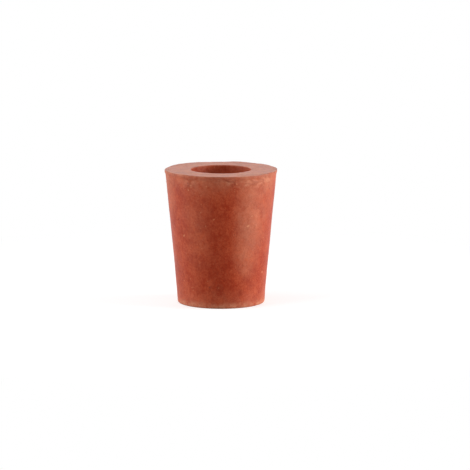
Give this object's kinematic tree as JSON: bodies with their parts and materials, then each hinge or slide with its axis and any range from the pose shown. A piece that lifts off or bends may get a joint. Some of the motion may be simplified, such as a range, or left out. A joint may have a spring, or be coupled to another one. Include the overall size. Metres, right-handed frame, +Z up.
{
  "type": "rubber stopper",
  "caption": "Tapered round rubber stopper with a shallow recess in its wide end and a smaller hole running on through to the narrow end.",
  "frame": {"origin": "centre of the narrow face, which the stopper stands on", "axes": "+Z up the axis from the narrow face to the wide face; the shape is the same all round, so X and Y are free"},
  "size_m": [0.0222, 0.0222, 0.0265],
  "materials": {
    "rubber": "matte"
  },
  "bodies": {
    "root": {"stopper": "rubber"}
  },
  "joints": []
}
